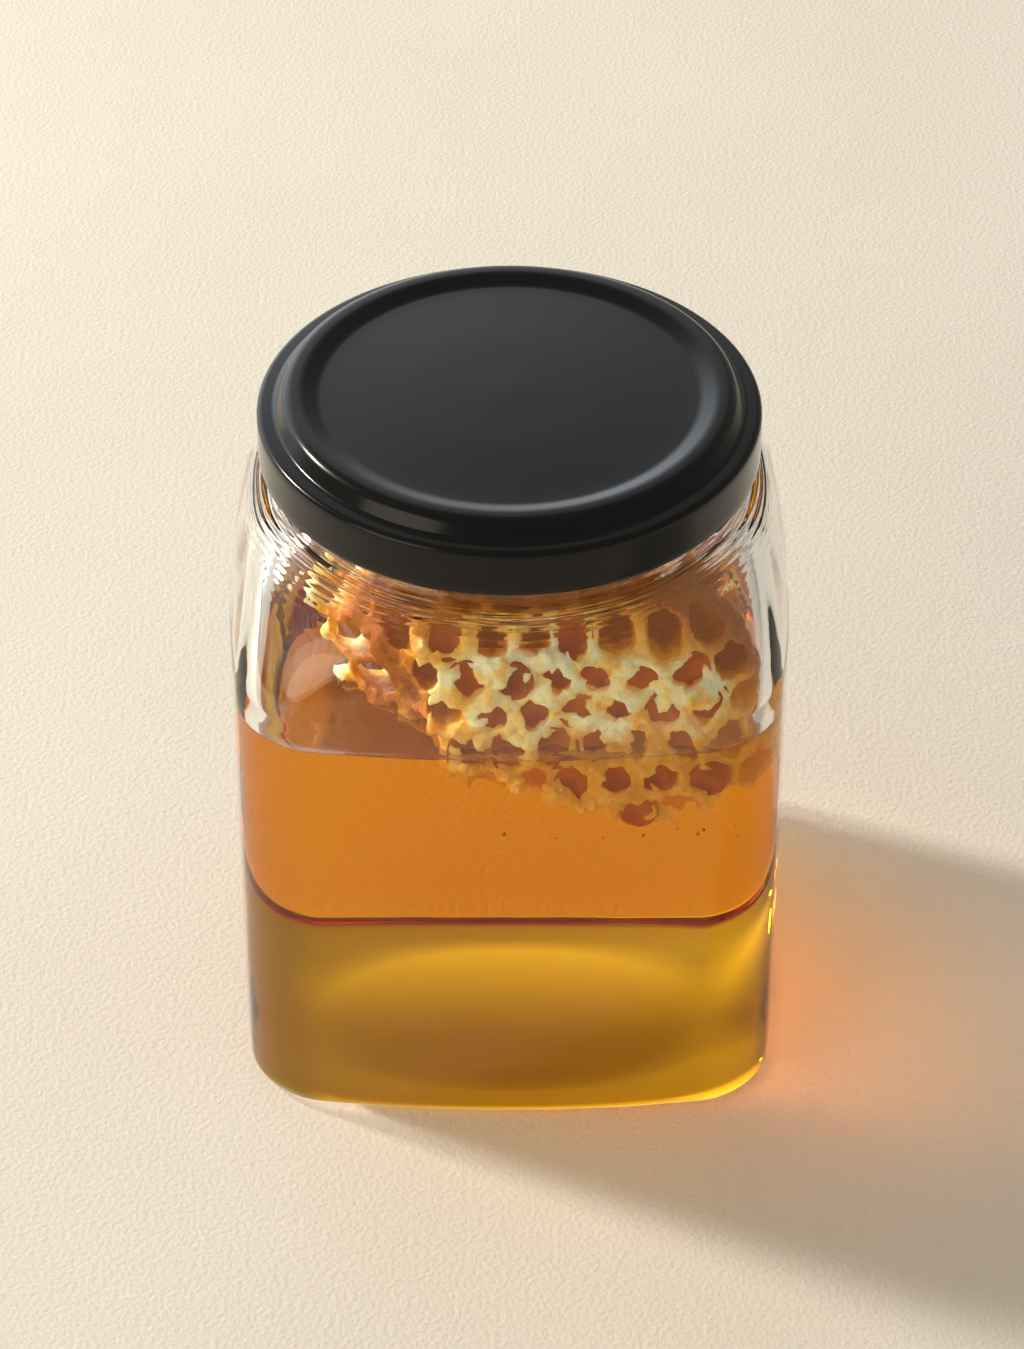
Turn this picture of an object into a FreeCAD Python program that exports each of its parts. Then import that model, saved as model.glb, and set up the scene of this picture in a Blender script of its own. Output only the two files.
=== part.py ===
import FreeCAD, Part
import math
import os
from FreeCAD import Vector

# A square honey jar with softly bowed sides, shut by a round pressed steel lid.
# In it: honey up to a level, and a cut chunk of honeycomb that stands partly in the honey.
# Millimetres, +Z up, origin at the middle of the underside. The front is towards -Y.

# glass body
body_width = 74.6          # across the middles of two opposite sides
side_radius = 190.0        # outward bow of each side
corner_radius = 11.6       # upright corners
wall = 3.0
heel_radius = 2.6          # outside edge of the base
floor_height = 3.6         # top of the base glass
floor_radius = 4.5         # inside edge of the base
punt_radius = 26.0         # shallow hollow under the base
punt_depth = 1.0
shoulder_start = 65.0      # where the upright walls end
shoulder_rise = 16.8       # from there to the root of the neck
shoulder_power = 1.5       # 2 is a quarter ellipse, 1 a straight chamfer
shoulder_steps = 8
shoulder_glass = 2.4       # upright thickness of the glass at the neck's root

# neck and sealing lip
neck_radius = 30.4
neck_wall = 3.6
neck_cove = 2.4            # hollow round from the shoulder into the neck
inside_cove = 2.4          # the same inside
neck_rounding = 0.6
lip_height = 3.0           # the narrower part of the neck
lip_rounding = 0.7
lip_chamfer = 0.5          # inside edge of the lip

# lid, pressed from sheet
lid_sheet = 0.4
lid_clearance = 2.2        # neck to the inside of the skirt
lid_height = 9.4           # curled edge to raised ring
lid_gap = 3.8              # root of the neck to the lid's curled edge
curl_radius = 0.8          # rolled lower edge
shelf_drop = 2.4           # raised ring down to the outer shelf
shelf_width = 2.3
shelf_rounding = 0.8
step_run = 1.4             # sloping step between shelf and ring
ring_width = 2.2           # flat top of the raised ring, which sits on the lip
panel_run = 2.1            # slope from the ring down to the panel
panel_drop = 0.75
fold_radius = 0.3          # the other folds of the sheet
lip_clearance = 0.6        # lip to the foot of the sloping step

# honey
honey_level = 60.5

# honeycomb chunk: a slab of comb with a middle sheet and cells on both faces
comb_thickness = 20.0
comb_front_gap = 1.0       # front face to the inside of the front wall, at the honey's level
comb_lean = 7.0            # degrees, top leans back
comb_yaw = 2.0             # degrees, right end goes back
comb_clearance = 0.5       # to the inside of the glass
cell_pitch = 5.5           # across the flats, with one wall
cell_wall = 1.2
middle_sheet = 2.0
cut_slant = 16.0           # the left cut runs this much further left at the back face
cut_start = 9.0            # the slant begins here
cut_fade = 11.0            # and is full this much further left

tolerance = 0.001          # points nearer than this are one point


def section(half_width, squareness, z):
    # closed outline at one height: squareness 1 has the body's form, 0 is a circle
    reach = side_radius - corner_radius
    side_offset = body_width / 2 - side_radius
    corner_offset = (side_offset + math.sqrt(2 * reach**2 - side_offset**2)) / 2
    tangent = math.degrees(math.atan2(corner_offset, corner_offset - side_offset))
    side_offset *= squareness
    corner_offset *= squareness
    side_arc = half_width - side_offset
    corner_arc = side_arc - math.hypot(corner_offset - side_offset, corner_offset)
    up = Vector(0, 0, 1)
    edges = []
    for quarter in range(4):
        turn = 90 * quarter
        side = math.radians(turn)
        corner = math.radians(turn + 45)
        side_centre = Vector(side_offset * math.cos(side), side_offset * math.sin(side), z)
        corner_reach = corner_offset * math.sqrt(2)
        corner_centre = Vector(corner_reach * math.cos(corner), corner_reach * math.sin(corner), z)
        edges.append(Part.makeCircle(side_arc, side_centre, up, turn - tangent, turn + tangent))
        edges.append(Part.makeCircle(corner_arc, corner_centre, up, turn + tangent, turn + 90 - tangent))
    return Part.Wire(edges)


def prism(half_width, low, high):
    face = Part.Face(section(half_width, 1, low))
    return face.extrude(Vector(0, 0, high - low))


def shoulder(half_width, root_radius, rise):
    # the square body drawn in to a circle, along a flattened quarter ellipse
    outlines = []
    for step in range(shoulder_steps + 1):
        angle = math.radians(90 * step / shoulder_steps)
        share = max(math.cos(angle), 0) ** (2 / shoulder_power)
        height = math.sin(angle) ** (2 / shoulder_power)
        half = root_radius + (half_width - root_radius) * share
        outlines.append(section(half, share, shoulder_start + rise * height))
    return Part.makeLoft(outlines, True, False)


def rounded_outline(corners):
    # closed wire in the XZ plane through (r, z, rounding) corners, each with its own fillet arc
    points = [Vector(r, 0, z) for r, z, rounding in corners]
    starts = []
    ends = []
    arcs = []
    for index, corner in enumerate(corners):
        here = points[index]
        before = (points[index - 1] - here).normalize()
        after = (points[(index + 1) % len(points)] - here).normalize()
        rounding = corner[2]
        if rounding == 0:
            starts.append(here)
            ends.append(here)
            arcs.append(None)
            continue
        half_angle = before.getAngle(after) / 2
        setback = rounding / math.tan(half_angle)
        start = here + before * setback
        end = here + after * setback
        inward = (before + after).normalize()
        centre = here + inward * (rounding / math.sin(half_angle))
        middle = centre - inward * rounding
        starts.append(start)
        ends.append(end)
        arcs.append(Part.Arc(start, middle, end).toShape())
    edges = []
    for index in range(len(corners)):
        if arcs[index] is not None:
            edges.append(arcs[index])
        following = starts[(index + 1) % len(corners)]
        if following.distanceToPoint(ends[index]) > tolerance:
            edges.append(Part.makeLine(ends[index], following))
    return Part.Wire(edges)


def turned(corners):
    face = Part.Face(rounded_outline(corners))
    return face.revolve(Vector(0, 0, 0), Vector(0, 0, 1), 360)


half_body = body_width / 2
half_inside = half_body - wall
neck_root = shoulder_start + shoulder_rise
inside_root = neck_root - shoulder_glass
bore_radius = neck_radius - neck_wall
lid_radius = neck_radius + lid_clearance + lid_sheet
lid_bottom = neck_root + lid_gap
lid_top = lid_bottom + lid_height
lip_top = lid_top - lid_sheet
ring_outer = lid_radius - shelf_width - step_run
lip_radius = ring_outer - lip_clearance


def bottom_edges(solid, height):
    return [edge for edge in solid.Edges if edge.BoundBox.ZMax < height + tolerance]


def make_cavity():
    # the whole inside of the jar, up through the neck
    well = prism(half_inside, floor_height, shoulder_start)
    well = well.makeFillet(floor_radius, bottom_edges(well, floor_height))
    bore = turned([
        (0, inside_root, 0),
        (bore_radius + inside_cove, inside_root, 0),
        (bore_radius, inside_root, inside_cove),
        (bore_radius, lip_top - lip_chamfer, 0),
        (bore_radius + lip_chamfer, lip_top, 0),
        (0, lip_top, 0),
    ])
    dome = shoulder(half_inside, bore_radius + inside_cove, inside_root - shoulder_start)
    return well.fuse(dome).fuse(bore).removeSplitter()


def make_glass(cavity):
    body = prism(half_body, 0, shoulder_start)
    body = body.makeFillet(heel_radius, bottom_edges(body, 0))
    dome = shoulder(half_body, neck_radius + neck_cove, shoulder_rise)
    neck = turned([
        (0, neck_root, 0),
        (neck_radius + neck_cove, neck_root, 0),
        (neck_radius, neck_root, neck_cove),
        (neck_radius, lip_top - lip_height, neck_rounding),
        (lip_radius, lip_top - lip_height + (neck_radius - lip_radius), neck_rounding),
        (lip_radius, lip_top, lip_rounding),
        (0, lip_top, 0),
    ])
    ball_radius = (punt_radius**2 + punt_depth**2) / (2 * punt_depth)
    punt = Part.makeSphere(ball_radius, Vector(0, 0, punt_depth - ball_radius))
    return body.fuse(dome).fuse(neck).removeSplitter().cut(punt).cut(cavity)


def lid_corners(inset):
    # the pressed form from skirt to middle, moved in by the sheet's thickness for its underside
    shelf = lid_top - shelf_drop - inset
    top = lid_top - inset
    step_shift = inset * math.tan(math.atan2(shelf_drop, step_run) / 2)
    dish_shift = inset * math.tan(math.atan2(panel_drop, panel_run) / 2)
    ring_inner = ring_outer - ring_width + dish_shift
    return [
        (lid_radius - inset, shelf, shelf_rounding - inset),
        (ring_outer + step_run - step_shift, shelf, fold_radius),
        (ring_outer - step_shift, top, fold_radius),
        (ring_inner, top, fold_radius),
        (ring_inner - panel_run, top - panel_drop, fold_radius),
        (0, top - panel_drop, 0),
    ]


def make_lid():
    outside = lid_corners(0)
    underside = lid_corners(lid_sheet)
    edge = lid_bottom + curl_radius
    corners = [(lid_radius, edge, 0)] + outside
    corners += list(reversed(underside)) + [(lid_radius - lid_sheet, edge, 0)]
    sheet = turned(corners)
    curl = Part.makeTorus(lid_radius - curl_radius, curl_radius, Vector(0, 0, edge))
    return sheet.fuse(curl).removeSplitter()


def comb_outline(slant, y):
    # ragged edge of the chunk on one face, in the slab's own upright plane; 0 is the honey's level
    corners = [
        (-5, -2.3), (0, -5.3), (7, -8.5), (14, -11), (22, -11.5), (29, -9.5), (33, -5),
        (33, 4), (30.5, 11), (27, 17), (21, 21), (12, 22), (2, 21.5), (-6, 19), (-10, 13), (-7, 5),
    ]
    points = []
    for across, height in corners:
        share = min(max((cut_start - across) / cut_fade, 0), 1)
        points.append(Vector(across - slant * share, y, height))
    curve = Part.BSplineCurve()
    curve.interpolate(points, PeriodicFlag=True)
    return Part.Wire([curve.toShape()])


def comb_cells(box):
    # six-sided pockets through both faces of the slab, the back ones set half a cell aside
    radius = (cell_pitch - cell_wall) / math.sqrt(3)
    row_rise = cell_pitch * math.sqrt(3) / 2
    rows = range(math.floor(box.ZMin / row_rise), math.ceil(box.ZMax / row_rise) + 1)
    columns = range(math.floor(box.XMin / cell_pitch) - 1, math.ceil(box.XMax / cell_pitch) + 1)
    cells = []
    for side in (-1, 1):
        start = side * middle_sheet / 2
        for row in rows:
            for column in columns:
                shift = 0.5 * (row % 2) + (0.5 if side > 0 else 0)
                centre = Vector((column + shift) * cell_pitch, start, row * row_rise)
                corners = []
                for corner in range(7):
                    angle = math.radians(60 * corner + 30)
                    corners.append(centre + Vector(radius * math.cos(angle), 0, radius * math.sin(angle)))
                face = Part.Face(Part.makePolygon(corners))
                cells.append(face.extrude(Vector(0, side * comb_thickness, 0)))
    return cells


def make_comb():
    half = comb_thickness / 2
    chunk = Part.makeLoft([comb_outline(0, -half), comb_outline(cut_slant, half)], True, True)
    chunk = chunk.cut(Part.makeCompound(comb_cells(chunk.BoundBox)))
    chunk.rotate(Vector(0, 0, 0), Vector(1, 0, 0), -comb_lean)
    chunk.rotate(Vector(0, 0, 0), Vector(0, 0, 1), comb_yaw)
    middle = -half_inside + comb_front_gap + half
    chunk.translate(Vector(0, middle, honey_level))
    room = prism(half_inside - comb_clearance, floor_height, shoulder_start)
    dome = shoulder(half_inside - comb_clearance, bore_radius, inside_root - shoulder_start)
    return chunk.common(room.fuse(dome))


def make_honey(cavity, comb):
    above = Part.makeBox(2 * body_width, 2 * body_width, lid_top, Vector(-body_width, -body_width, honey_level))
    return cavity.cut(above).cut(comb)


os.makedirs("parts", exist_ok=True)
cavity = make_cavity()
comb = make_comb()
nodes = {
    "jar_glass": make_glass(cavity),
    "lid": make_lid(),
    "honey": make_honey(cavity, comb),
    "honeycomb": comb,
}
for name, shape in nodes.items():
    pieces = shape.Solids
    box = shape.BoundBox
    print(name, "solids", len(pieces), "valid", shape.isValid(), "volume", round(shape.Volume, 1),
          "z", round(box.ZMin, 2), round(box.ZMax, 2), "x", round(box.XMin, 2), round(box.XMax, 2),
          "y", round(box.YMin, 2), round(box.YMax, 2))
    shape.exportStep("parts/" + name + ".step")
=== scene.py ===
import bpy
import bmesh
import math
import random
from mathutils import Vector, Matrix, noise
from mathutils.bvhtree import BVHTree


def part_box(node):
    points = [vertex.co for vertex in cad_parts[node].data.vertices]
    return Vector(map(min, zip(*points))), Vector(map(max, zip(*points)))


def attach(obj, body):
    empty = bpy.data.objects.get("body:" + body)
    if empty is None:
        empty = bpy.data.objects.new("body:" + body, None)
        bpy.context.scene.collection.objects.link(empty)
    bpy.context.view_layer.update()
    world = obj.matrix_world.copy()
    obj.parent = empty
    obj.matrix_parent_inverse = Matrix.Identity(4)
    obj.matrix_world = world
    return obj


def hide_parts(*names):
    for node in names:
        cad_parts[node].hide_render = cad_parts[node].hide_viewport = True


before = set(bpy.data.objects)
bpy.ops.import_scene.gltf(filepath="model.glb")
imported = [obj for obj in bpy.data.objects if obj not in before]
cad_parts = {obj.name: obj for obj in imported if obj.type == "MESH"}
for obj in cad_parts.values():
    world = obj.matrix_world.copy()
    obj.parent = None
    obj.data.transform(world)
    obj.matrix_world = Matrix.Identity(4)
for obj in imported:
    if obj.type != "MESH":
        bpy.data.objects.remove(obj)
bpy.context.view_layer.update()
scene = bpy.context.scene
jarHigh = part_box("jar_glass")[1]
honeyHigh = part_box("honey")[1]
lidLow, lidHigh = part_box("lid")
noise.seed_set(2)              # without it noise_vector goes by the clock
print("frame loaded")


def newObject(name, bm, material, smooth=True):
    mesh = bpy.data.meshes.new(name)
    bm.normal_update()
    bm.to_mesh(mesh)
    bm.free()
    for face in mesh.polygons:
        face.use_smooth = smooth
    piece = bpy.data.objects.new(name, mesh)
    scene.collection.objects.link(piece)
    mesh.materials.append(material)
    return piece


def appliedMesh(piece, name):
    # the mesh with its modifiers, as a new bmesh; the piece itself goes
    bpy.context.view_layer.update()
    dg = bpy.context.evaluated_depsgraph_get()
    mesh = bpy.data.meshes.new_from_object(piece.evaluated_get(dg))
    bm = bmesh.new()
    bm.from_mesh(mesh)
    bpy.data.objects.remove(piece)
    bpy.data.meshes.remove(mesh)
    return bm


def smoothVerts(bm, factor):
    bmesh.ops.smooth_vert(bm, verts=bm.verts, factor=factor,
                          use_axis_x=True, use_axis_y=True, use_axis_z=True)


def noise3(point, size, seed=0.0):
    return noise.noise_vector(point / size + Vector((seed, seed * 1.7, -seed)))


def newGroup(name, inputs, outputs):
    group = bpy.data.node_groups.new(name, "ShaderNodeTree")
    for label, kind, value in inputs:
        socket = group.interface.new_socket(name=label, in_out="INPUT", socket_type=kind)
        if value is not None:
            socket.default_value = value
    for label, kind in outputs:
        group.interface.new_socket(name=label, in_out="OUTPUT", socket_type=kind)
    source = group.nodes.new("NodeGroupInput")
    target = group.nodes.new("NodeGroupOutput")
    return group, group.nodes, group.links, source, target


def makeMottleGroup():
    # soft patches between 0 and 1 on the piece's own coordinates
    group, nodes, links, source, target = newGroup(
        "mottle",
        [("Scale", "NodeSocketFloat", 100.0), ("Detail", "NodeSocketFloat", 3.0),
         ("Low", "NodeSocketFloat", 0.35), ("High", "NodeSocketFloat", 0.65)],
        [("Mask", "NodeSocketFloat")])
    place = nodes.new("ShaderNodeTexCoord")
    patches = nodes.new("ShaderNodeTexNoise")
    spread = nodes.new("ShaderNodeMapRange")
    links.new(place.outputs["Object"], patches.inputs["Vector"])
    links.new(source.outputs["Scale"], patches.inputs["Scale"])
    links.new(source.outputs["Detail"], patches.inputs["Detail"])
    links.new(patches.outputs["Fac"], spread.inputs["Value"])
    links.new(source.outputs["Low"], spread.inputs["From Min"])
    links.new(source.outputs["High"], spread.inputs["From Max"])
    links.new(spread.outputs["Result"], target.inputs["Mask"])
    return group


def makeReliefGroup():
    # fine uneven surface as a normal
    group, nodes, links, source, target = newGroup(
        "relief",
        [("Scale", "NodeSocketFloat", 400.0), ("Detail", "NodeSocketFloat", 2.0),
         ("Strength", "NodeSocketFloat", 0.2), ("Distance", "NodeSocketFloat", 0.0002)],
        [("Normal", "NodeSocketVector")])
    place = nodes.new("ShaderNodeTexCoord")
    grain = nodes.new("ShaderNodeTexNoise")
    bump = nodes.new("ShaderNodeBump")
    links.new(place.outputs["Object"], grain.inputs["Vector"])
    links.new(source.outputs["Scale"], grain.inputs["Scale"])
    links.new(source.outputs["Detail"], grain.inputs["Detail"])
    links.new(grain.outputs["Fac"], bump.inputs["Height"])
    links.new(source.outputs["Strength"], bump.inputs["Strength"])
    links.new(source.outputs["Distance"], bump.inputs["Distance"])
    links.new(bump.outputs["Normal"], target.inputs["Normal"])
    return group


mottleGroup = makeMottleGroup()
reliefGroup = makeReliefGroup()


def newMaterial(name):
    material = bpy.data.materials.new(name)
    material.use_nodes = True
    return material, material.node_tree.nodes, material.node_tree.links


def addGroup(nodes, group, **values):
    node = nodes.new("ShaderNodeGroup")
    node.node_tree = group
    for label, value in values.items():
        node.inputs[label].default_value = value
    return node


def addRamp(nodes, stops):
    ramp = nodes.new("ShaderNodeValToRGB")
    elements = ramp.color_ramp.elements
    while len(elements) < len(stops):
        elements.new(0.5)
    for element, (place, colour) in zip(elements, stops):
        element.position = place
        element.color = (*colour, 1.0)
    return ramp


def setShader(nodes, **values):
    shader = nodes["Principled BSDF"]
    for label, value in values.items():
        shader.inputs[label.replace("_", " ")].default_value = value
    return shader


body = {
    "sideRadius": 0.190,
    "cornerRadius": 0.0116,
    "wall": 0.0030,
    "heelRadius": 0.0021,
    "floorHeight": 0.0036,
    "floorRadius": 0.0045,
    "floorCrown": 0.0006,      # the floor rises a little to its middle
    "puntRadius": 0.026,
    "puntDepth": 0.0010,
    "shoulderStart": 0.065,
    "shoulderRise": 0.0168,
    "shoulderPower": 1.5,
    "shoulderGlass": 0.0024,
    "neckRadius": 0.0304,
    "neckWall": 0.0036,
    "neckCove": 0.0024,
    "insideCove": 0.0024,
    "neckRounding": 0.0006,
    "lipRadius": 0.0287,
    "lipHeight": 0.0030,
    "lipRounding": 0.0007,
    "lipChamfer": 0.0005,
    "segments": 288,
    "cornerDraw": 0.11,
    "lampShare": 0.70,         # of a lamp's light, at each surface
    # painted reflection colour: the glass's reflections are tinted warm
    "paintedReflectionTint": (1.0, 0.94, 0.70),
    "innerWave": 0.00016,      # moulded glass is uneven inside
    "waveSize": 0.011,
    "ringWave": 0.00007,       # rings left by the mould at the root of the neck
    "ringPitch": 0.0013,
    "ringSpread": 0.0028,
    "ringDrift": 2.5,
    "footWave": 0.00012,       # the foot's rounding is uneven
    "footSize": 0.009,
}
halfBody = jarHigh.x
halfInside = halfBody - body["wall"]
sideOffset = halfBody - body["sideRadius"]
arcReach = body["sideRadius"] - body["cornerRadius"]
cornerOffset = (sideOffset + math.sqrt(2 * arcReach ** 2 - sideOffset ** 2)) / 2
neckRoot = body["shoulderStart"] + body["shoulderRise"]
insideRoot = neckRoot - body["shoulderGlass"]
boreRadius = body["neckRadius"] - body["neckWall"]
honeyLevel = honeyHigh.z


def letLampsThrough(nodes, links, shader, share):
    # lamps shine straight through clear pieces, dimmed by share at each surface
    path = nodes.new("ShaderNodeLightPath")
    clear = nodes.new("ShaderNodeBsdfTransparent")
    clear.inputs["Color"].default_value = (share, share, share, 1)
    both = nodes.new("ShaderNodeMixShader")
    links.new(path.outputs["Is Shadow Ray"], both.inputs["Fac"])
    links.new(shader.outputs["BSDF"], both.inputs[1])
    links.new(clear.outputs["BSDF"], both.inputs[2])
    links.new(both.outputs["Shader"], nodes["Material Output"].inputs["Surface"])


def outlineRadius(angle, half, square):
    # from the axis to the outline: square 1 is the body's form, 0 is a circle
    turn = angle % (math.pi / 2)
    if turn > math.pi / 4:
        turn = math.pi / 2 - turn
    side = sideOffset * square
    corner = cornerOffset * square
    sideArc = half - side
    cornerArc = sideArc - math.hypot(corner - side, corner)
    joint = math.atan2(corner, corner - side) if square > 0 else 0
    jointAngle = math.atan2(sideArc * math.sin(joint), side + sideArc * math.cos(joint))
    if turn <= jointAngle:
        along = side * math.cos(turn)
        across = side * math.sin(turn)
        return along + math.sqrt(sideArc ** 2 - across ** 2)
    along = corner * (math.cos(turn) + math.sin(turn))
    across = corner * (math.sin(turn) - math.cos(turn))
    return along + math.sqrt(cornerArc ** 2 - across ** 2)


def spinAngle(index, count):
    # even steps, drawn closer together at the four corners
    even = 2 * math.pi * index / count
    return even + body["cornerDraw"] * math.sin(4 * even)


def shoulderSteps(half, root, rise, count):
    steps = []
    power = 2 / body["shoulderPower"]
    for step in range(count + 1):
        angle = math.pi / 2 * step / count
        square = max(math.cos(angle), 0.0) ** power
        height = math.sin(angle) ** power
        steps.append((root + (half - root) * square, square, body["shoulderStart"] + rise * height))
    return steps


def glassProfile():
    # (half width, squareness, height) from the middle of the underside,
    # over the lip, to the middle of the floor
    steps = []
    for step in range(1, 11):
        r = body["puntRadius"] * step / 10
        steps.append((r, 0.0, body["puntDepth"] * (1 - (step / 10) ** 2)))
    heel = body["heelRadius"]
    foot = halfBody - heel
    for step in range(1, 4):
        share = step / 4
        steps.append((body["puntRadius"] + (foot - body["puntRadius"]) * share, share, 0.0))
    for step in range(17):
        angle = math.pi / 2 * step / 16
        steps.append((foot + heel * math.sin(angle), 1.0, heel * (1 - math.cos(angle))))
    for step in range(1, 20):
        steps.append((halfBody, 1.0, heel + (body["shoulderStart"] - heel) * step / 20))
    cove = body["neckCove"]
    inner = body["insideCove"]
    neck = body["neckRadius"]
    steps += shoulderSteps(halfBody, neck + cove, body["shoulderRise"], 48)
    for step in range(1, 13):
        angle = math.pi / 2 * step / 12
        steps.append((neck + cove - cove * math.sin(angle), 0.0,
                      neckRoot + cove - cove * math.cos(angle)))
    neckTop = jarHigh.z - body["lipHeight"]
    lip = body["lipRadius"]
    rounding = body["lipRounding"]
    for step in range(1, 6):
        steps.append((neck, 0.0, neckRoot + cove + (neckTop - neckRoot - cove) * step / 5))
    ease = body["neckRounding"] / 3
    lipFoot = neckTop + neck - lip
    steps.append((neck - ease, 0.0, neckTop + 1.5 * ease))
    steps.append((lip + ease, 0.0, lipFoot - 1.5 * ease))
    steps.append((lip, 0.0, lipFoot + ease))
    for step in range(7):
        angle = math.pi / 2 * step / 6
        steps.append((lip - rounding + rounding * math.cos(angle), 0.0,
                      jarHigh.z - rounding + rounding * math.sin(angle)))
    chamfer = body["lipChamfer"]
    for step in range(5):
        angle = math.pi / 2 * step / 4
        steps.append((boreRadius + chamfer - chamfer * math.sin(angle), 0.0,
                      jarHigh.z - chamfer + chamfer * math.cos(angle)))
    outerCount = len(steps)
    boreTop = jarHigh.z - chamfer
    for step in range(1, 8):
        steps.append((boreRadius, 0.0, boreTop - (boreTop - insideRoot - inner) * step / 7))
    for step in range(1, 13):
        angle = math.pi / 2 * (1 - step / 12)
        steps.append((boreRadius + inner - inner * math.sin(angle), 0.0,
                      insideRoot + inner - inner * math.cos(angle)))
    inside = shoulderSteps(halfInside, boreRadius + inner, insideRoot - body["shoulderStart"], 48)
    steps += reversed(inside[:-1])
    steps += insideWell(0.0)
    return steps, outerCount


def insideWell(reach):
    # upright inside walls, the rounded floor edge and the crowned floor, grown by reach into the glass
    steps = []
    corner = body["floorRadius"]
    floor = body["floorHeight"]
    half = halfInside + reach
    top = body["shoulderStart"]
    heights = [top - (top - floor - corner) * step / 19 for step in range(1, 20)]
    heights.append(honeyLevel + honey["climb"])
    for z in sorted(heights, reverse=True):
        steps.append((half, 1.0, z))
    for step in range(1, 11):
        angle = math.pi / 2 * step / 10
        out = corner * (1 - math.cos(angle))
        drop = corner * math.sin(angle) + reach * math.sin(angle)
        steps.append((half - out, 1.0, floor + corner - drop))
    flat = half - corner
    for step in range(1, 12):
        share = step / 12
        crown = body["floorCrown"] * (1 - math.cos(math.pi * share)) / 2
        steps.append((flat * (1 - share), (1 - share) ** 0.5, floor + crown - reach))
    return steps


def insideWave(point):
    # how far the inside of the glass stands in or out at a point
    return body["innerWave"] * noise.noise(point / body["waveSize"])


def ringWave(point, root):
    # rings round the root of the neck, uneven along their length
    near = math.exp(-((point.z - root) / body["ringSpread"]) ** 2)
    drift = noise.noise(point / body["waveSize"]) * body["ringDrift"]
    across = math.hypot(point.x, point.y) - point.z
    return body["ringWave"] * near * math.sin(2 * math.pi * across / body["ringPitch"] + drift)


def revolveSteps(steps, waveFrom, segments, wetSteps):
    # one ring of vertices, extruded along the steps; both ends close on the axis
    # faces between honey and glass are marked as not free
    bm = bmesh.new()
    free = bm.faces.layers.float.new("free")
    ring = bmesh.ops.create_circle(bm, segments=segments, radius=1.0)["verts"]
    for index, vert in enumerate(ring):
        angle = spinAngle(index, segments)
        vert.co = (math.cos(angle), math.sin(angle), 0)
    edges = list(bm.edges)
    verts = ring
    firstEdges = edges
    for number, (half, square, z) in enumerate(steps):
        if number > 0:
            grown = bmesh.ops.extrude_edge_only(bm, edges=edges)["geom"]
            verts = [item for item in grown if isinstance(item, bmesh.types.BMVert)]
            edges = [item for item in grown if isinstance(item, bmesh.types.BMEdge)]
            for face in [item for item in grown if isinstance(item, bmesh.types.BMFace)]:
                face[free] = 0 if wetSteps[0] < number <= wetSteps[1] else 1
        for vert in verts:
            angle = math.atan2(vert.co.y, vert.co.x)
            radius = outlineRadius(angle, half, square)
            co = Vector((radius * math.cos(angle), radius * math.sin(angle), z))
            if number >= waveFrom:
                co *= 1 + insideWave(co) / max(radius, 0.004)
            elif 0 < z < body["heelRadius"] and square == 1.0:
                co.z += body["footWave"] * (1 + noise.noise(co / body["footSize"]))
            if z > body["shoulderStart"]:
                co *= 1 + ringWave(co, insideRoot if number >= waveFrom else neckRoot) / radius
            vert.co = co
    ends = ((firstEdges, wetSteps[0] < 0), (edges, wetSteps[1] >= len(steps)))
    for loop, wet in ends:
        cap = bmesh.ops.edgeloop_fill(bm, edges=loop)["faces"]
        poked = bmesh.ops.poke(bm, faces=cap)
        poked["verts"][0].co.z = sum(edge.verts[0].co.z for edge in loop) / len(loop)
        for face in poked["faces"]:
            face[free] = 0 if wet else 1
    bmesh.ops.recalc_face_normals(bm, faces=bm.faces)
    return bm


def glassMaterial(name, ior, share):
    material, nodes, links = newMaterial(name)
    shader = setShader(nodes, Base_Color=(0.985, 1.0, 0.99, 1), Roughness=0.0, IOR=ior)
    # painted reflection colour: reflections off the glass are tinted warm
    shader.inputs["Specular Tint"].default_value = (*body["paintedReflectionTint"], 1)
    shader.inputs["Transmission Weight"].default_value = 1.0
    relief = addGroup(nodes, reliefGroup, Scale=160.0, Detail=1.0, Strength=0.12, Distance=0.0001)
    links.new(relief.outputs["Normal"], shader.inputs["Normal"])
    letLampsThrough(nodes, links, shader, share)
    return material


def makeGlass():
    steps, outerCount = glassProfile()
    wetLine = honeyLevel + honey["climb"]
    firstWet = next(i for i, step in enumerate(steps) if i > outerCount and step[2] <= wetLine + 1e-6)
    bm = revolveSteps(steps, outerCount, body["segments"], (firstWet, len(steps)))
    free = bm.faces.layers.float["free"]
    for face in bm.faces:
        face.material_index = 0 if face[free] else 1
    piece = newObject("jarGlass", bm, glassMaterial("clearGlass", 1.5, body["lampShare"]))
    piece.data.materials.append(glassMaterial("wettedGlass", 1.0, 1.0))
    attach(piece, "root")
    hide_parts("jar_glass")
    return piece


honey = {
    "reach": 0.00015,          # into the glass, so that no air shows between
    "climb": 0.0009,           # how far it creeps up the glass
    "climbWidth": 0.0016,
    "climbFall": 1.6,
    "absorb": (0.965, 0.797, 0.0),
    "density": 90.0,
    "lampShare": 0.40,
    "bubbles": 16,
    "bubbleSize": (0.00015, 0.00040),
    "bubbleAcross": (-0.004, 0.030),    # under the comb
    "bubbleOff": (0.0008, 0.004),       # from the front glass
    "bubbleDrop": (0.0115, 0.0140),
    "skimAcross": (-0.026, 0.026),      # just under the surface
    "skimBack": (-0.028, 0.020),
    "skimDrop": 0.0007,
    "skin": (0.46, 0.33, 0.27),    # painted shade: the free surface and the bubbles dim what passes through them, standing in for the shade under the jar
}


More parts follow.
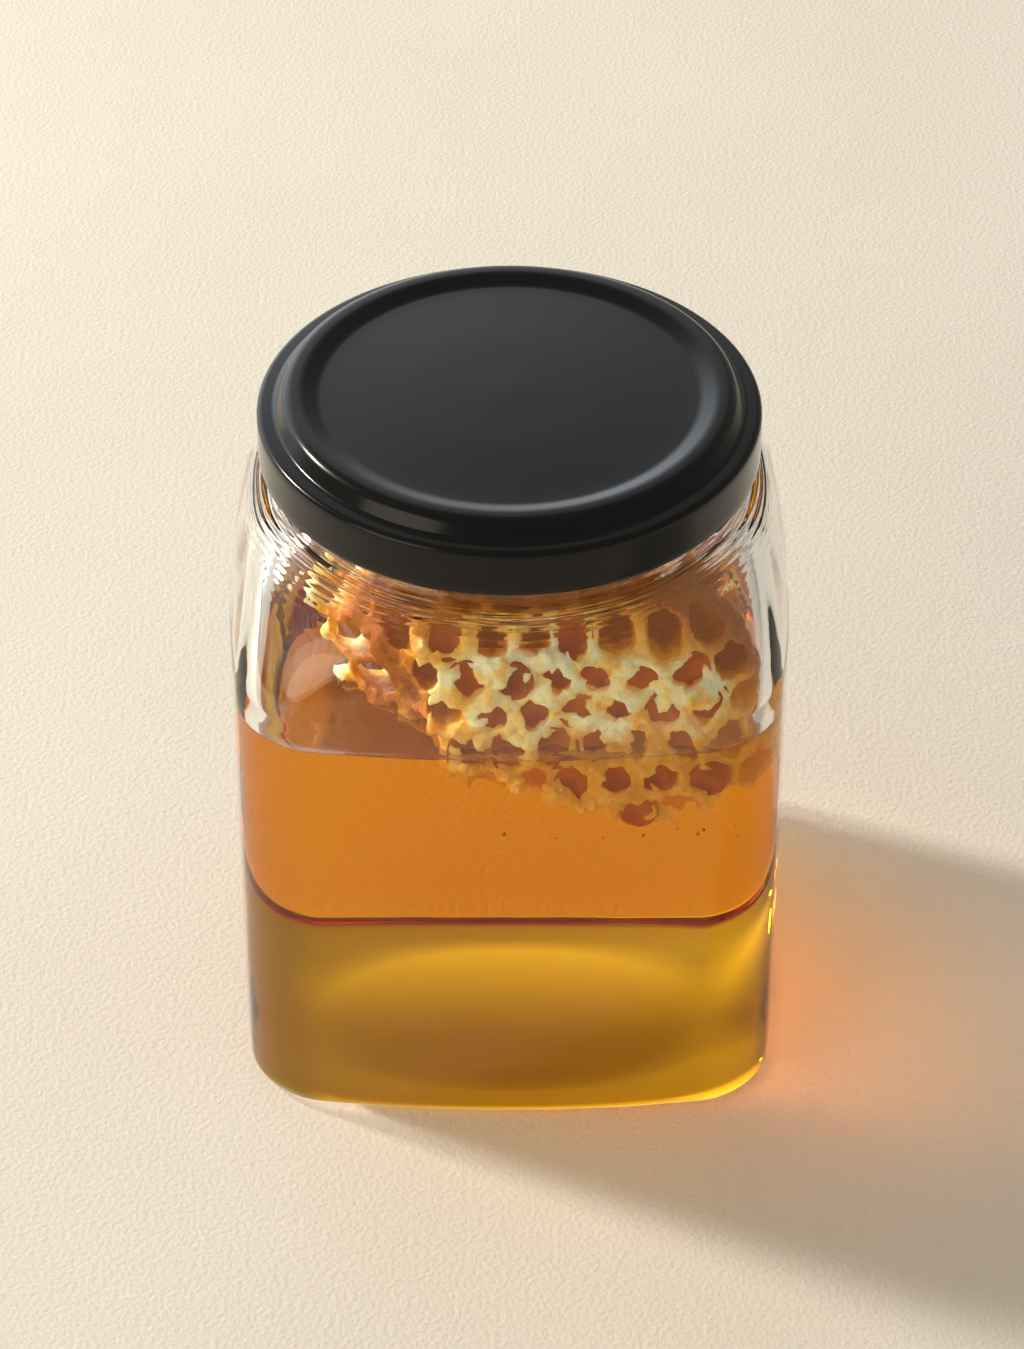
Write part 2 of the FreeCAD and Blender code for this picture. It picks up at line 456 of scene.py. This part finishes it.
def honeyMaterial():
    # against the glass it bends no light, at its free surface it does
    material, nodes, links = newMaterial("honey")
    shader = setShader(nodes, Roughness=0.0)
    shader.inputs["Transmission Weight"].default_value = 1.0
    free = nodes.new("ShaderNodeAttribute")
    free.attribute_name = "free"
    bend = nodes.new("ShaderNodeMapRange")
    bend.inputs["To Min"].default_value = 1.0
    bend.inputs["To Max"].default_value = 1.5
    links.new(free.outputs["Fac"], bend.inputs["Value"])
    links.new(bend.outputs["Result"], shader.inputs["IOR"])
    # painted shade: free faces pass less light, standing in for the shade under the jar
    freeSurfaceShade = addRamp(nodes, [(0.0, (1.0, 1.0, 1.0)), (1.0, honey["skin"])])
    links.new(free.outputs["Fac"], freeSurfaceShade.inputs["Fac"])
    links.new(freeSurfaceShade.outputs["Color"], shader.inputs["Base Color"])
    volume = nodes.new("ShaderNodeVolumeAbsorption")
    volume.inputs["Color"].default_value = (*honey["absorb"], 1.0)
    volume.inputs["Density"].default_value = honey["density"]
    links.new(volume.outputs["Volume"], nodes["Material Output"].inputs["Volume"])
    relief = addGroup(nodes, reliefGroup, Scale=70.0, Detail=2.0, Strength=0.35, Distance=0.0005)
    links.new(relief.outputs["Normal"], shader.inputs["Normal"])
    letLampsThrough(nodes, links, shader, honey["lampShare"])
    return material


def addBubbles(bm, draws):
    # small air bubbles under the comb and along the front glass; their faces look inwards
    free = bm.faces.layers.float["free"]
    for number in range(honey["bubbles"]):
        size = draws.uniform(*honey["bubbleSize"]) * draws.uniform(0.6, 1.0)
        across = draws.uniform(*honey["bubbleAcross"])
        if number % 3 == 0:
            across = draws.uniform(*honey["skimAcross"])
            back = draws.uniform(*honey["skimBack"])
            drop = honey["skimDrop"]
        else:
            back = draws.uniform(*honey["bubbleOff"]) - halfInside
            drop = draws.uniform(*honey["bubbleDrop"])
        middle = Matrix.Translation((across, back, honeyLevel - drop))
        ball = bmesh.ops.create_icosphere(bm, subdivisions=2, radius=size, matrix=middle)["verts"]
        faces = list({face for vert in ball for face in vert.link_faces})
        for face in faces:
            face[free] = 1
        bmesh.ops.recalc_face_normals(bm, faces=faces)
        bmesh.ops.reverse_faces(bm, faces=faces)


def makeHoney(material):
    reach = honey["reach"]
    well = [step for step in insideWell(reach) if step[2] < honeyLevel - 0.001]
    steps = list(reversed(well))
    half = halfInside + reach
    steps.append((half, 1.0, honeyLevel))
    steps.append((half, 1.0, honeyLevel + honey["climb"]))
    sideCount = len(steps)
    run = 3 * honey["climbWidth"]
    for step in range(1, 15):
        inset = run * (step / 14) ** honey["climbFall"]
        climb = honey["climb"] * math.exp(-inset / honey["climbWidth"] * honey["climbFall"])
        steps.append((half - reach - inset, 1.0, honeyLevel + climb))
    flat = half - run
    for step in range(1, 9):
        share = 1 - step / 9
        steps.append((flat * share, share ** 0.5, honeyLevel))
    bm = revolveSteps(steps, 0, body["segments"], (-1, sideCount - 1))
    addBubbles(bm, random.Random(3))
    piece = newObject("honeyFill", bm, material)
    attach(piece, "root")
    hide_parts("honey")
    return piece


comb = {
    "thickness": 0.020,
    "frontGap": 0.0010,
    "lean": math.radians(7),
    "yaw": math.radians(2),
    "pitch": 0.0055,
    "voxel": 0.00047,
    "warp": 0.0013,            # cells wander this far from a true pattern
    "warpSize": 0.010,
    "rimFlare": 0.00025,       # walls are thicker at the mouths
    "rimDepth": 0.0016,
    "swell": 0.0005,           # some cells are wider than others
    "swellSize": 0.006,
    "tear": 0.0030,            # rims are torn down this much in places
    "tearSize": 0.0046,
    "rough": 0.00042,
    "roughSize": 0.0012,
    "shred": 0.0007,           # fine shreds at the very rim
    "shredSize": 0.0008,
    "tearMiddle": 0.4,
    "tearSpread": 0.9,
    "tearFade": 0.006,
    "deep": 0.0065,            # this far in, the wax is darkest: partly the honey's colour, partly painted shade deep in the cells
    "stain": 0.10,             # and uneven
    "stainSize": 0.003,
    "soak": 0.0030,            # honey soaks this far up past its level
    "soakSlope": 0.12,         # and further at the right
    "soakSpread": 0.004,
    "soakSize": 0.007,
    "soakFade": 0.004,
    "soakMost": 0.95,
    "skin": 0.0004,            # lumps sit within this of the front face
    "scatter": 0.0005,
    "lumpSpread": (0.8, 1.25),
    "sunk": -0.001,            # lumps under the comb are below this height
    "dripAcross": 0.004,       # drips keep to the left of this
    "dripTop": 0.016,
    "glow": 0.16,              # painted glow: the wax gives off light of its own, standing in for light that soaks through from all round
}
combMiddle = Vector((0, -halfInside + comb["frontGap"] + comb["thickness"] / 2, honeyLevel))
slabToJar = (Matrix.Translation(combMiddle) @ Matrix.Rotation(comb["yaw"], 4, "Z")
             @ Matrix.Rotation(-comb["lean"], 4, "X"))
jarToSlab = slabToJar.inverted()
combLumps = [
    # kind, count, size range, squash across, through and up
    ("rim", 90, (0.0004, 0.0008), (1.0, 1.3, 1.0)),
    ("flap", 90, (0.0010, 0.0022), (1.0, 0.30, 0.28)),
    ("underside", 150, (0.0004, 0.0008), (1.0, 1.0, 0.8)),
    ("drip", 44, (0.0004, 0.0007), (1.0, 1.0, 3.2)),
]


def warpComb(point):
    # the wander of the cells, in the slab's own frame
    shift = noise3(point, comb["warpSize"], 3.1)
    return point + Vector((shift.x, shift.y * 0.5, shift.z)) * comb["warp"]


def lumpPlaces(points):
    # points of the plain comb that each kind of lump can sit on, in the slab's frame
    front = [p for p in points if p.y < comb["skin"] - comb["thickness"] / 2]
    near = [p for p in points if p.y < 0]
    return {
        "rim": front,
        "flap": [p for p in front if p.z > 0],
        "underside": [p for p in near if p.z < comb["sunk"]],
        "drip": [p for p in near if p.x < comb["dripAcross"] and p.z < comb["dripTop"]],
    }


def addLumps(bm, draws):
    # sorted, as the order of the vertices may differ from run to run
    points = [jarToSlab @ vert.co for vert in bm.verts]
    points.sort(key=lambda point: [round(value, 5) for value in point])
    places = lumpPlaces(points)
    for kind, count, sizes, squash in combLumps:
        for number in range(count):
            middle = draws.choice(places[kind])
            middle = middle + Vector([draws.uniform(-1, 1) for axis in range(3)]) * comb["scatter"]
            size = draws.uniform(*sizes)
            turn = Matrix()
            if kind == "flap":
                turn = Matrix.Rotation(draws.uniform(0, math.pi), 4, "Y")
            sides = [share * size * draws.uniform(*comb["lumpSpread"]) for share in squash]
            form = Matrix.Diagonal((*sides, 1))
            bmesh.ops.create_icosphere(bm, subdivisions=2, radius=1.0,
                                       matrix=slabToJar @ Matrix.Translation(middle) @ turn @ form)


def waxMaterial():
    material, nodes, links = newMaterial("combWax")
    shader = setShader(nodes, Roughness=0.30, IOR=1.44)
    shader.inputs["Subsurface Weight"].default_value = 1.0
    shader.inputs["Subsurface Radius"].default_value = (1.0, 0.66, 0.22)
    shader.inputs["Subsurface Scale"].default_value = 0.0014
    shader.inputs["Coat Weight"].default_value = 0.25
    shader.inputs["Coat Roughness"].default_value = 0.08
    patches = addGroup(nodes, mottleGroup, Scale=260.0, Detail=4.0, Low=0.34, High=0.66)
    cream = addRamp(nodes, [(0.0, (0.90, 0.46, 0.06)), (0.35, (1.0, 0.70, 0.22)),
                            (0.75, (1.0, 0.86, 0.50))])
    links.new(patches.outputs["Mask"], cream.inputs["Fac"])
    # darker and more orange deeper in the cells: partly the honey's colour, partly painted shade in the
    # cells' depth
    depth = nodes.new("ShaderNodeAttribute")
    depth.attribute_name = "cellDepth"
    amberAndShade = addRamp(nodes, [(0.0, (0.95, 0.60, 0.12)), (0.35, (0.86, 0.40, 0.022)),
                            (0.7, (0.66, 0.23, 0.006)), (1.0, (0.44, 0.12, 0.003))])
    links.new(depth.outputs["Fac"], amberAndShade.inputs["Fac"])
    share = nodes.new("ShaderNodeMapRange")
    share.interpolation_type = "SMOOTHSTEP"
    share.inputs["From Min"].default_value = 0.10
    share.inputs["From Max"].default_value = 0.42
    links.new(depth.outputs["Fac"], share.inputs["Value"])
    inside = nodes.new("ShaderNodeMix")
    inside.data_type = "RGBA"
    links.new(share.outputs["Result"], inside.inputs["Factor"])
    links.new(cream.outputs["Color"], inside.inputs[6])
    links.new(amberAndShade.outputs["Color"], inside.inputs[7])
    soaked = nodes.new("ShaderNodeAttribute")
    soaked.attribute_name = "soaked"
    wet = nodes.new("ShaderNodeMix")
    wet.data_type = "RGBA"
    wet.inputs[7].default_value = (0.80, 0.36, 0.012, 1)
    links.new(soaked.outputs["Fac"], wet.inputs["Factor"])
    links.new(inside.outputs[2], wet.inputs[6])
    links.new(wet.outputs[2], shader.inputs["Base Color"])
    # painted glow: the wax's colour is also given off as light, though the wax is no lamp
    links.new(wet.outputs[2], shader.inputs["Emission Color"])
    shader.inputs["Emission Strength"].default_value = comb["glow"]
    relief = addGroup(nodes, reliefGroup, Scale=900.0, Detail=5.0, Strength=0.9, Distance=0.0008)
    links.new(relief.outputs["Normal"], shader.inputs["Normal"])
    return material


def makeComb(material):
    bm = bmesh.new()
    bm.from_mesh(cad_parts["honeycomb"].data)
    bmesh.ops.remove_doubles(bm, verts=bm.verts, dist=1e-6)
    addLumps(bm, random.Random(5))
    core = newObject("combCore", bm, material)
    remesh = core.modifiers.new("remesh", "REMESH")
    remesh.mode = "VOXEL"
    remesh.voxel_size = comb["voxel"]
    bm = appliedMesh(core, "combCore")
    smoothVerts(bm, 0.5)
    bm.normal_update()
    halfThick = comb["thickness"] / 2
    spin = jarToSlab.to_3x3()
    depthLayer = bm.verts.layers.float.new("cellDepth")
    soakLayer = bm.verts.layers.float.new("soaked")
    places = []
    for vert in bm.verts:
        point = jarToSlab @ vert.co
        normal = spin @ vert.normal
        face = math.copysign(1, point.y)
        depth = max(halfThick - abs(point.y), 0)
        mouth = math.exp(-depth / comb["rimDepth"])
        normal.y = 0
        swell = noise.noise(point / comb["swellSize"] + Vector((9, 0, 0))) * comb["swell"]
        point += normal * (comb["rimFlare"] * mouth + swell)
        torn = max(comb["tearMiddle"] + comb["tearSpread"] * noise.noise(point / comb["tearSize"]), 0)
        point.y -= face * comb["tear"] * torn * max(1 - depth / comb["tearFade"], 0)
        point.y += face * comb["shred"] * mouth * noise.noise(point / comb["shredSize"])
        # how deep a point lies in its cell; the wax material darkens with it, partly honey colour and
        # partly painted shade
        stain = comb["stain"] * noise.noise(point / comb["stainSize"])
        vert[depthLayer] = min(depth / comb["deep"], 1) + stain
        soak = comb["soak"] + comb["soakSlope"] * point.x - point.z
        soak += comb["soakSpread"] * noise.noise(point / comb["soakSize"])
        vert[soakLayer] = min(max(soak / comb["soakFade"], 0), comb["soakMost"])
        point = warpComb(point)
        point += noise3(point, comb["roughSize"], 7.7) * comb["rough"]
        places.append(slabToJar @ point)
    for vert, place in zip(bm.verts, places):
        vert.co = place
    smoothVerts(bm, 0.15)
    bmesh.ops.recalc_face_normals(bm, faces=bm.faces)
    piece = newObject("combWax", bm, material)
    print("comb faces", len(piece.data.polygons))
    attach(piece, "root")
    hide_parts("honeycomb")
    return piece


cellHoney = {
    "share": 0.86,             # of the cells, this many hold honey
    "rows": (-3, 8),
    "columns": (-6, 8),
    "depth": (0.0020, 0.0046), # from the front face to the honey
    "sunken": 0.0015,          # cells less than this over the level are filled
    "full": 0.0028,            # to this depth
    "reach": 0.0040,           # walls are looked for this far out
    "back": 0.0009,
    "radius": 0.00262,         # reaches into the walls
    # painted glow: the honey in the cells gives off light of its own
    "glow": 0.10,
    "dish": 0.0011,
}


def cellHoneyMaterial():
    material, nodes, links = newMaterial("cellHoney")
    shader = setShader(nodes, Roughness=0.06, IOR=1.3)
    shader.inputs["Subsurface Weight"].default_value = 0.6
    shader.inputs["Subsurface Radius"].default_value = (1.0, 0.35, 0.06)
    shader.inputs["Subsurface Scale"].default_value = 0.003
    patches = addGroup(nodes, mottleGroup, Scale=220.0, Detail=2.0, Low=0.35, High=0.65)
    ramp = addRamp(nodes, [(0.0, (0.36, 0.062, 0.001)), (1.0, (0.58, 0.14, 0.003))])
    links.new(patches.outputs["Mask"], ramp.inputs["Fac"])
    links.new(ramp.outputs["Color"], shader.inputs["Base Color"])
    # painted glow: the cell honey's colour is also given off as light, though it is no lamp
    links.new(ramp.outputs["Color"], shader.inputs["Emission Color"])
    shader.inputs["Emission Strength"].default_value = cellHoney["glow"]
    relief = addGroup(nodes, reliefGroup, Scale=500.0, Detail=1.0, Strength=0.15, Distance=0.0002)
    links.new(relief.outputs["Normal"], shader.inputs["Normal"])
    return material


def makeCellHoney(wax):
    # the honey that stands in cells of the front face, a dished disc in each
    tree = BVHTree.FromPolygons([vert.co for vert in wax.data.vertices],
                                [tuple(face.vertices) for face in wax.data.polygons])
    draws = random.Random(11)
    pitch = comb["pitch"]
    rise = pitch * math.sqrt(3) / 2
    bm = bmesh.new()
    for row in range(*cellHoney["rows"]):
        for column in range(*cellHoney["columns"]):
            chance = draws.random()
            depth = draws.uniform(*cellHoney["depth"])
            if chance > cellHoney["share"]:
                continue
            flat = Vector(((column + 0.5 * (row % 2)) * pitch, depth - comb["thickness"] / 2, row * rise))
            middle = slabToJar @ warpComb(flat)
            if middle.z < honeyLevel + cellHoney["sunken"]:
                flat.y = cellHoney["full"] - comb["thickness"] / 2
                middle = slabToJar @ warpComb(flat)
            walls = 0
            for step in range(6):
                angle = math.pi / 3 * step
                way = slabToJar.to_3x3() @ Vector((math.cos(angle), 0, math.sin(angle)))
                if tree.ray_cast(middle, way, cellHoney["reach"])[0] is not None:
                    walls += 1
            if walls < 6:
                continue
            tilt = slabToJar @ Matrix.Translation(warpComb(flat)) @ Matrix.Rotation(math.pi / 2, 4, "X")
            ball = bmesh.ops.create_icosphere(bm, subdivisions=3, radius=cellHoney["radius"])["verts"]
            for vert in ball:
                edge = min(vert.co.xy.length / cellHoney["radius"], 1)
                vert.co.z = -cellHoney["back"] if vert.co.z < 0 else cellHoney["dish"] * edge ** 2
                vert.co = tilt @ vert.co
    bmesh.ops.remove_doubles(bm, verts=bm.verts, dist=1e-6)
    bmesh.ops.recalc_face_normals(bm, faces=bm.faces)
    piece = newObject("cellHoney", bm, cellHoneyMaterial())
    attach(piece, "root")
    return piece


lid = {
    "sheet": 0.0003,
    "curl": 0.0008,
    "curlTurn": math.radians(280),
    "shelfDrop": 0.0024,
    "shelfWidth": 0.0023,
    "shelfRounding": 0.0008,
    "stepRun": 0.0014,
    "ringWidth": 0.0022,
    "panelRun": 0.0021,
    "panelDrop": 0.00075,
    "panelCrown": 0.00045,
    "fold": 0.00045,
    "brow": 0.0009,            # the fold at the ring's outer edge is rounder
    "turns": 256,
}


def lacquerMaterial():
    material, nodes, links = newMaterial("blackLacquer")
    shader = setShader(nodes, IOR=1.10)
    shader.inputs["Coat Weight"].default_value = 1.0
    shader.inputs["Coat Roughness"].default_value = 0.17
    shader.inputs["Coat IOR"].default_value = 1.32
    patches = addGroup(nodes, mottleGroup, Scale=60.0, Detail=5.0, Low=0.3, High=0.7)
    tone = addRamp(nodes, [(0.0, (0.0022, 0.0019, 0.0015)), (1.0, (0.0036, 0.0032, 0.0026))])
    gloss = addRamp(nodes, [(0.0, (0.20, 0.20, 0.20)), (1.0, (0.28, 0.28, 0.28))])
    links.new(patches.outputs["Mask"], tone.inputs["Fac"])
    links.new(patches.outputs["Mask"], gloss.inputs["Fac"])
    links.new(tone.outputs["Color"], shader.inputs["Base Color"])
    links.new(gloss.outputs["Color"], shader.inputs["Roughness"])
    relief = addGroup(nodes, reliefGroup, Scale=1400.0, Detail=2.0, Strength=0.12, Distance=0.0001)
    links.new(relief.outputs["Normal"], shader.inputs["Normal"])
    return material


def linerMaterial():
    # the pale lacquer inside the lid
    material, nodes, links = newMaterial("paleLacquer")
    shader = setShader(nodes, Roughness=0.45)
    patches = addGroup(nodes, mottleGroup, Scale=80.0, Detail=3.0, Low=0.3, High=0.7)
    tone = addRamp(nodes, [(0.0, (0.66, 0.55, 0.34)), (1.0, (0.72, 0.61, 0.40))])
    links.new(patches.outputs["Mask"], tone.inputs["Fac"])
    links.new(tone.outputs["Color"], shader.inputs["Base Color"])
    return material


def makeLid():
    outer = lidHigh.x
    top = lidHigh.z
    shelf = top - lid["shelfDrop"]
    ringOuter = outer - lid["shelfWidth"] - lid["stepRun"]
    ringInner = ringOuter - lid["ringWidth"]
    panel = ringInner - lid["panelRun"]
    low = top - lid["panelDrop"]
    curl = lid["curl"]
    curlHeight = lidLow.z + curl
    corners = [
        (0.0, low + lid["panelCrown"], 0), (panel * 0.5, low + lid["panelCrown"] * 0.7, 0),
        (panel, low, lid["fold"]), (ringInner, top, lid["fold"]), (ringOuter, top, lid["brow"]),
        (ringOuter + lid["stepRun"], shelf, lid["fold"]), (outer, shelf, lid["shelfRounding"]),
        (outer, curlHeight, 0),
    ]
    bm = bmesh.new()
    verts = [bm.verts.new((r, 0, z)) for r, z, fold in corners]
    folds = [fold for r, z, fold in corners]
    for step in range(1, 13):      # the rolled edge turns in under the skirt
        angle = -lid["curlTurn"] * step / 12
        reach = outer - curl + curl * math.cos(angle)
        verts.append(bm.verts.new((reach, 0, curlHeight + curl * math.sin(angle))))
        folds.append(0)
    for first, second in zip(verts, verts[1:]):
        bm.edges.new((first, second))
    for vert, fold in zip(verts, folds):
        if fold:
            bmesh.ops.bevel(bm, geom=[vert], offset=fold, segments=5, profile=0.5,
                            affect="VERTICES", material=-1)
    long = [edge for edge in bm.edges if edge.calc_length() > 0.003]
    bmesh.ops.subdivide_edges(bm, edges=long, cuts=5)
    bmesh.ops.spin(bm, geom=bm.verts[:] + bm.edges[:], cent=(0, 0, 0), axis=(0, 0, 1),
                   angle=2 * math.pi, steps=lid["turns"], use_merge=True, use_duplicate=False)
    bmesh.ops.remove_doubles(bm, verts=bm.verts, dist=1e-6)
    bmesh.ops.recalc_face_normals(bm, faces=bm.faces)
    topFace = max(bm.faces, key=lambda face: face.calc_center_median().z)
    if topFace.normal.z < 0:
        bmesh.ops.reverse_faces(bm, faces=bm.faces)
    piece = newObject("pressedLid", bm, lacquerMaterial())
    wall = piece.modifiers.new("sheet", "SOLIDIFY")
    wall.thickness = lid["sheet"]
    wall.offset = -1
    wall.material_offset = 1
    piece.data.materials.append(linerMaterial())
    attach(piece, "root")
    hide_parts("lid")
    return piece


makeLid()
print("lid made")
makeGlass()
print("glass made")
makeHoney(honeyMaterial())
print("honey made")
waxPiece = makeComb(waxMaterial())
makeCellHoney(waxPiece)
print("comb made")


def makeFloor():
    material, nodes, links = newMaterial("paleFloor")
    shader = setShader(nodes, Roughness=0.85)
    patches = addGroup(nodes, mottleGroup, Scale=12.0, Detail=6.0, Low=0.3, High=0.7)
    ramp = addRamp(nodes, [(0.0, (0.76, 0.71, 0.62)), (1.0, (0.80, 0.755, 0.665))])
    links.new(patches.outputs["Mask"], ramp.inputs["Fac"])
    links.new(ramp.outputs["Color"], shader.inputs["Base Color"])
    relief = addGroup(nodes, reliefGroup, Scale=1300.0, Detail=3.0, Strength=0.4, Distance=0.0004)
    links.new(relief.outputs["Normal"], shader.inputs["Normal"])
    bm = bmesh.new()
    bmesh.ops.create_grid(bm, x_segments=8, y_segments=8, size=12.0)
    floor = newObject("floor", bm, material, smooth=False)
    floor.location.z = -0.0002     # a hair under the glass


lights = [
    # name, place, size, watts, colour
    ("key", (-1.07, 0.478, 0.80), 0.15, 19.5, (1.0, 0.93, 0.82)),
    ("front", (-1.30, -1.05, 0.66), 1.2, 7.5, (1.0, 0.91, 0.76)),
]


def makeLights():
    for name, place, size, watts, colour in lights:
        lamp = bpy.data.lights.new(name, "AREA")
        lamp.shape = "DISK"
        lamp.size = size
        lamp.energy = watts
        lamp.color = colour
        holder = bpy.data.objects.new(name, lamp)
        scene.collection.objects.link(holder)
        holder.location = place
        holder.rotation_euler = (Vector((0, 0, 0.04)) - Vector(place)).to_track_quat("-Z", "Y").to_euler()


studio = {
    "colour": (0.335, 0.320, 0.295),
    "glow": (1.78, 1.92, 2.08),    # a soft bright wall, low at the back
    "edges": [("X", 0.30, -0.30), ("Y", 0.15, 0.75), ("Z", 0.80, 0.40)],
}


def makeStudio():
    world = bpy.data.worlds.new("studio")
    scene.world = world
    world.use_nodes = True
    nodes, links = world.node_tree.nodes, world.node_tree.links
    place = nodes.new("ShaderNodeTexCoord")
    apart = nodes.new("ShaderNodeSeparateXYZ")
    links.new(place.outputs["Generated"], apart.inputs["Vector"])
    share = None
    for axis, low, high in studio["edges"]:
        edge = nodes.new("ShaderNodeMapRange")
        edge.interpolation_type = "SMOOTHSTEP"
        edge.inputs["From Min"].default_value = low
        edge.inputs["From Max"].default_value = high
        links.new(apart.outputs[axis], edge.inputs["Value"])
        if share is None:
            share = edge.outputs["Result"]
            continue
        product = nodes.new("ShaderNodeMath")
        product.operation = "MULTIPLY"
        links.new(share, product.inputs[0])
        links.new(edge.outputs["Result"], product.inputs[1])
        share = product.outputs["Value"]
    tone = nodes.new("ShaderNodeMix")
    tone.data_type = "RGBA"
    tone.inputs[6].default_value = (*studio["colour"], 1)
    tone.inputs[7].default_value = (*studio["glow"], 1)
    links.new(share, tone.inputs["Factor"])
    links.new(tone.outputs[2], nodes["Background"].inputs["Color"])


camera = {
    "lens": 124.96,
    "pitch": math.radians(38.242),
    "distance": 0.6387,
    "target": Vector((0.00034, 0, 0.04743)),
}


def makeCamera():
    data = bpy.data.cameras.new("camera")
    data.lens = camera["lens"]
    data.sensor_width = 36
    data.clip_start = 0.01
    data.clip_end = 60
    holder = bpy.data.objects.new("camera", data)
    scene.collection.objects.link(holder)
    back = Vector((0, -math.cos(camera["pitch"]), math.sin(camera["pitch"])))
    holder.location = camera["target"] + back * camera["distance"]
    holder.rotation_euler = (-back).to_track_quat("-Z", "Y").to_euler()
    scene.camera = holder


makeFloor()
makeLights()
makeStudio()
makeCamera()
scene.view_settings.view_transform = "Standard"
scene.cycles.max_bounces = 24
scene.cycles.transmission_bounces = 20
scene.cycles.transparent_max_bounces = 12
print("stage ready")
